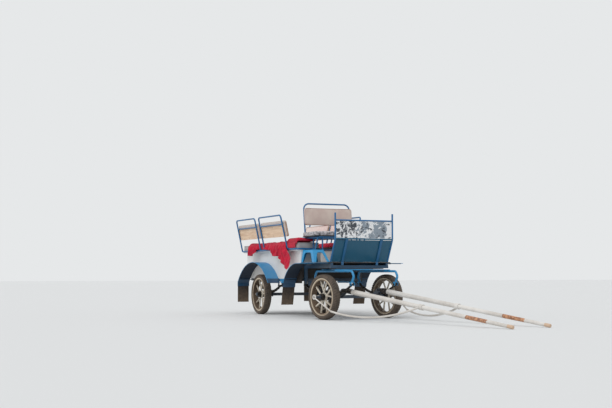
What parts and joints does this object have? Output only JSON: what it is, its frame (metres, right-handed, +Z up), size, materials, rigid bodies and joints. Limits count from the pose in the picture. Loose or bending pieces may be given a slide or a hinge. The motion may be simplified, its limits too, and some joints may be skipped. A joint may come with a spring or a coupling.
{
  "type": "horse-drawn wagonette carriage",
  "caption": "Open wagonette carriage: side benches with tube hoops behind a raised driver's seat, steered front axle with two shafts, spoked wheels with rubber tyres.",
  "frame": {"origin": "on the ground under the middle of the whole carriage with its shafts lowered", "axes": "+X forward along the body, +Y to the carriage's left, +Z up"},
  "size_m": [6.2128, 1.6626, 1.6715],
  "materials": {
    "blue_paint": "satin light blue enamel, dusty",
    "navy_paint": "dark blue enamel, worn",
    "petrol_paint": "satin petrol blue enamel",
    "white_paint": "white enamel, dusty and scuffed",
    "marbled_panel": "white sheet with charcoal blotches",
    "plywood": "varnished plywood",
    "black_board": "black-painted board",
    "grey_vinyl": "grey leatherette",
    "taupe_vinyl": "taupe leatherette",
    "pink_brown_fabric": "pinkish brown upholstery",
    "red_cloth": "crimson woven blanket",
    "mottled_fleece": "mottled grey fleece",
    "tyre_rubber": "worn rubber with dried mud",
    "cream_rim": "cream enamel, muddy",
    "steel": "dark greasy steel",
    "shaft_paint": "off-white paint, scuffed",
    "flap_rubber": "dusty black rubber"
  },
  "bodies": {
    "carriage": {"back_pad_front_left": "pink_brown_fabric", "back_pad_front_right": "pink_brown_fabric", "back_pad_rear_left": "pink_brown_fabric", "back_pad_rear_right": "pink_brown_fabric", "bench_blanket_left": "red_cloth", "bench_blanket_right": "red_cloth", "bench_box_left": "white_paint", "bench_box_right": "white_paint", "bench_cushion_left": "grey_vinyl", "bench_cushion_right": "grey_vinyl", "bench_frame_left": "blue_paint", "bench_frame_right": "blue_paint", "blanket_roll": "red_cloth", "bulkhead": "navy_paint", "chassis_frame": "navy_paint", "dash_frame": "blue_paint", "dash_lower_panel": "petrol_paint", "dash_upper_panel": "marbled_panel", "driver_back_cushion": "taupe_vinyl", "driver_floor": "black_board", "driver_seat_board": "black_board", "driver_seat_frame": "blue_paint", "driver_seat_pad": "mottled_fleece", "front_flap_left": "flap_rubber", "front_flap_right": "flap_rubber", "front_guard_left": "blue_paint", "front_guard_right": "blue_paint", "pedestal_left": "blue_paint", "pedestal_right": "blue_paint", "rear_axle": "navy_paint", "rear_flap_left": "flap_rubber", "rear_flap_right": "flap_rubber", "rear_guard_left": "blue_paint", "rear_guard_right": "blue_paint", "rear_spring_left": "steel", "rear_spring_right": "steel", "side_panel_left": "white_paint", "side_panel_right": "white_paint", "tub_floor": "black_board"},
    "forecarriage": {"turntable": "blue_paint", "front_spring_right": "steel", "front_spring_left": "steel", "front_axle": "navy_paint"},
    "shaft_right": {"shaft_right": "shaft_paint", "tie_right": "shaft_paint"},
    "shaft_left": {"shaft_left": "shaft_paint", "tie_left": "shaft_paint"},
    "rear_wheel_right": {"tyre_rear_right": "tyre_rubber", "wheel_rear_right": "cream_rim"},
    "rear_wheel_left": {"tyre_rear_left": "tyre_rubber", "wheel_rear_left": "cream_rim"},
    "front_wheel_right": {"tyre_front_right": "tyre_rubber", "wheel_front_right": "cream_rim"},
    "front_wheel_left": {"tyre_front_left": "tyre_rubber", "wheel_front_left": "cream_rim"}
  },
  "joints": [
    {"name": "steer", "type": "hinge", "parent": "carriage", "child": "forecarriage", "pos_m": [-0.12392, -0.1092, 0.69], "axis": [0, 0, 1], "range_deg": [-101, 79]},
    {"name": "rear_wheel_right_spin", "type": "hinge", "parent": "carriage", "child": "rear_wheel_right", "pos_m": [-2.27392, -0.6642, 0.31], "axis": [0, 1, 0], "continuous": true},
    {"name": "rear_wheel_left_spin", "type": "hinge", "parent": "carriage", "child": "rear_wheel_left", "pos_m": [-2.27392, 0.4458, 0.31], "axis": [0, 1, 0], "continuous": true},
    {"name": "front_wheel_right_spin", "type": "hinge", "parent": "forecarriage", "child": "front_wheel_right", "pos_m": [-0.01802, -0.654, 0.31], "axis": [-0.1908, 0.9816, 0], "continuous": true},
    {"name": "front_wheel_left_spin", "type": "hinge", "parent": "forecarriage", "child": "front_wheel_left", "pos_m": [-0.22982, 0.43561, 0.31], "axis": [-0.1908, 0.9816, 0], "continuous": true},
    {"name": "shaft_right_lift", "type": "hinge", "parent": "forecarriage", "child": "shaft_right", "pos_m": [0.08247, -0.38488, 0.4], "axis": [0.1908, -0.9816, 0], "range_deg": [0, 35]},
    {"name": "shaft_left_lift", "type": "hinge", "parent": "forecarriage", "child": "shaft_left", "pos_m": [-0.03583, 0.22373, 0.4], "axis": [0.1908, -0.9816, 0], "range_deg": [0, 35]}
  ]
}
